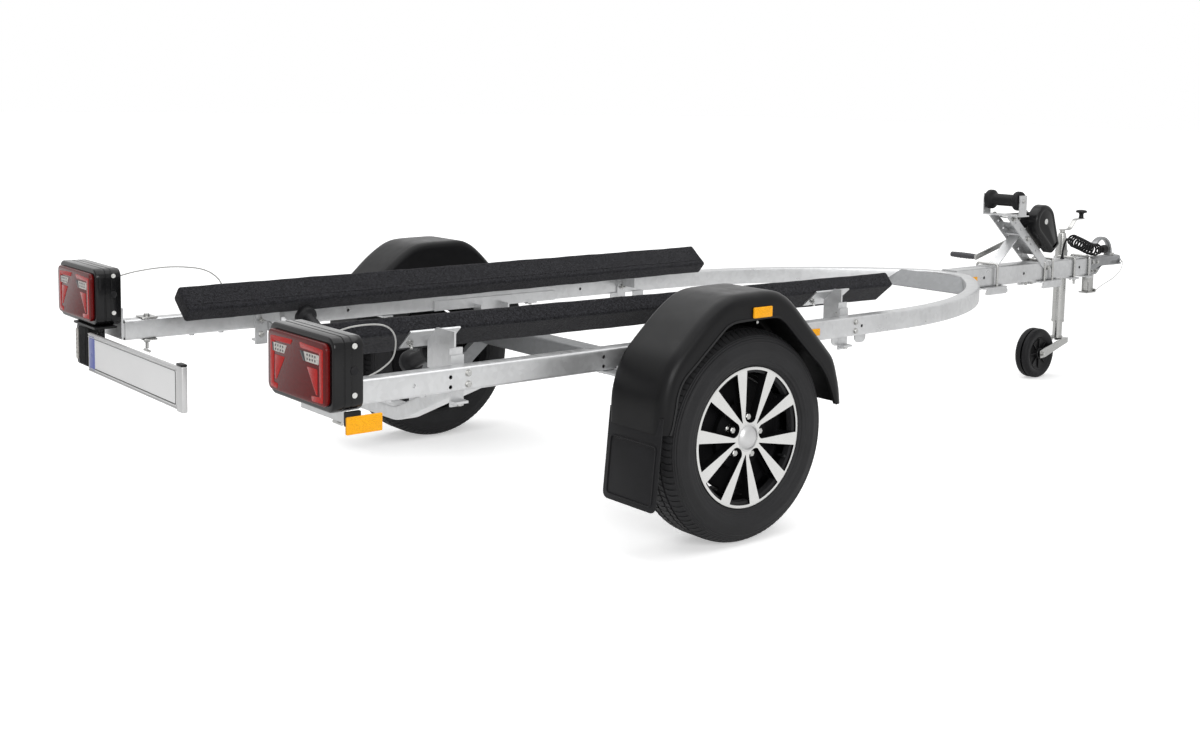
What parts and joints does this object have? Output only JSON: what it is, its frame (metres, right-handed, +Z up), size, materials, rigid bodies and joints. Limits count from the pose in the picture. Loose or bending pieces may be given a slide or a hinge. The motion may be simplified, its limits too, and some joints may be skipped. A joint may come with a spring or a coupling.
{
  "type": "boat trailer",
  "caption": "Galvanised boat trailer with one axle, carpeted bunks, a winch post with a front roller, side rollers, mudguards, rear lights and a jockey wheel.",
  "frame": {"origin": "middle of the overall length and width, on the ground under the wheels", "axes": "+X towards the tow ball, +Y to the left, +Z up"},
  "size_m": [4.55, 1.75, 0.855],
  "materials": {
    "galvanised_steel": "dull spangled hot-dip galvanising",
    "axle_steel": "weathered galvanised steel",
    "alloy": "silver paint with bright machined spoke faces",
    "tyre_rubber": "matt black rubber",
    "black_rubber": "matt black moulded rubber",
    "black_plastic": "satin black moulded plastic",
    "cable_jacket": "satin black flexible jacket",
    "carpet": "charcoal needle-punched carpet",
    "webbing": "dark woven webbing",
    "plate_white": "blank white face in a thin aluminium holder",
    "zinc_plate": "bright zinc plating",
    "red_lens": "deep red glossy lens",
    "gloss_black": "glossy black moulded plastic"
  },
  "bodies": {
    "chassis": {"rail_left": "galvanised_steel", "rail_right": "galvanised_steel", "bow_left": "galvanised_steel", "bow_right": "galvanised_steel", "nose_gusset": "galvanised_steel", "drawbar": "galvanised_steel", "cross_beam": "galvanised_steel", "axle_tube": "axle_steel", "axle_brackets": "galvanised_steel", "axle_arms": "axle_steel", "mudguard_left": "black_plastic", "mudguard_right": "black_plastic", "mudguard_stays": "galvanised_steel", "mud_flaps": "black_plastic", "bunk_left": "carpet", "bunk_right": "carpet", "bunk_posts": "galvanised_steel", "bunk_cradles": "galvanised_steel", "hull_roller_brackets": "galvanised_steel", "winch_post": "galvanised_steel", "winch_brace": "galvanised_steel", "winch_frame": "zinc_plate", "winch_cover": "black_plastic", "winch_strap": "webbing", "bow_roller_bracket": "galvanised_steel", "drawbar_clamps": "galvanised_steel", "stand_clamp": "galvanised_steel", "stand_tube": "galvanised_steel", "stand_crank": "galvanised_steel", "coupling_head": "galvanised_steel", "coupling_handle": "galvanised_steel", "plug_holder": "galvanised_steel", "safety_wire": "galvanised_steel", "lead_tail": "cable_jacket", "lead_coil": "cable_jacket", "lead_plug": "black_plastic"},
    "wheel_left": {"hub_left": "axle_steel", "rim_left": "alloy", "tyre_left": "tyre_rubber"},
    "wheel_right": {"hub_right": "axle_steel", "rim_right": "alloy", "tyre_right": "tyre_rubber"},
    "side_roller_left": {"hull_roller_left": "black_rubber"},
    "side_roller_right": {"hull_roller_right": "black_rubber"},
    "winch_spool": {"winch_drum": "zinc_plate"},
    "winch_handle": {"winch_crank": "galvanised_steel"},
    "front_roller": {"bow_roller": "black_rubber"},
    "jockey_leg": {"stand_leg": "galvanised_steel"},
    "jockey_fork": {"stand_fork": "galvanised_steel"},
    "jockey_roller": {"jockey_wheel": "black_rubber"},
    "light_left": {"light_arm_left": "galvanised_steel", "light_box_left": "gloss_black", "light_lens_left": "red_lens", "plate_hinge": "black_plastic", "plate_lamp": "black_plastic"},
    "light_right": {"light_arm_right": "galvanised_steel", "light_box_right": "gloss_black", "light_lens_right": "red_lens"},
    "plate": {"number_plate": "plate_white"}
  },
  "joints": [
    {"name": "wheel_left_spin", "type": "hinge", "parent": "chassis", "child": "wheel_left", "pos_m": [-0.975, 0.765, 0.298], "axis": [0, 1, 0], "continuous": true},
    {"name": "wheel_right_spin", "type": "hinge", "parent": "chassis", "child": "wheel_right", "pos_m": [-0.975, -0.765, 0.298], "axis": [0, 1, 0], "continuous": true},
    {"name": "side_roller_left_spin", "type": "hinge", "parent": "chassis", "child": "side_roller_left", "pos_m": [-1.683, 0.3, 0.512], "axis": [0, 0.9135, 0.4067], "continuous": true},
    {"name": "side_roller_right_spin", "type": "hinge", "parent": "chassis", "child": "side_roller_right", "pos_m": [-1.683, -0.3, 0.512], "axis": [0, 0.9135, -0.4067], "continuous": true},
    {"name": "winch_handle_spin", "type": "hinge", "parent": "chassis", "child": "winch_handle", "pos_m": [1.61, 0, 0.634], "axis": [0, 1, 0], "continuous": true},
    {"name": "winch_spool_spin", "type": "hinge", "parent": "chassis", "child": "winch_spool", "pos_m": [1.56, 0, 0.723], "axis": [0, 1, 0], "continuous": true},
    {"name": "front_roller_spin", "type": "hinge", "parent": "chassis", "child": "front_roller", "pos_m": [1.377, 0, 0.815], "axis": [0, 1, 0], "continuous": true},
    {"name": "jockey_leg_slide", "type": "slide", "parent": "chassis", "child": "jockey_leg", "axis": [0, 0, 1], "range_m": [0, 0.055]},
    {"name": "jockey_fork_swivel", "type": "hinge", "parent": "jockey_leg", "child": "jockey_fork", "pos_m": [1.973, 0.1, 0.172], "axis": [0, 0, 1], "continuous": true},
    {"name": "jockey_roller_spin", "type": "hinge", "parent": "jockey_fork", "child": "jockey_roller", "pos_m": [1.801, 0.1, 0.11], "axis": [0, 1, 0], "continuous": true},
    {"name": "light_left_slide", "type": "slide", "parent": "chassis", "child": "light_left", "axis": [-1, 0, 0], "range_m": [0, 0.25]},
    {"name": "light_right_slide", "type": "slide", "parent": "chassis", "child": "light_right", "axis": [-1, 0, 0], "range_m": [0, 0.25]},
    {"name": "plate_fold", "type": "hinge", "parent": "light_left", "child": "plate", "pos_m": [-2.233, 0.56, 0.456], "axis": [0, 0, -1], "range_deg": [0, 95]}
  ],
  "couplings": [
    {"joint": "winch_spool_spin", "follows": "winch_handle_spin", "ratio": -0.25}
  ]
}
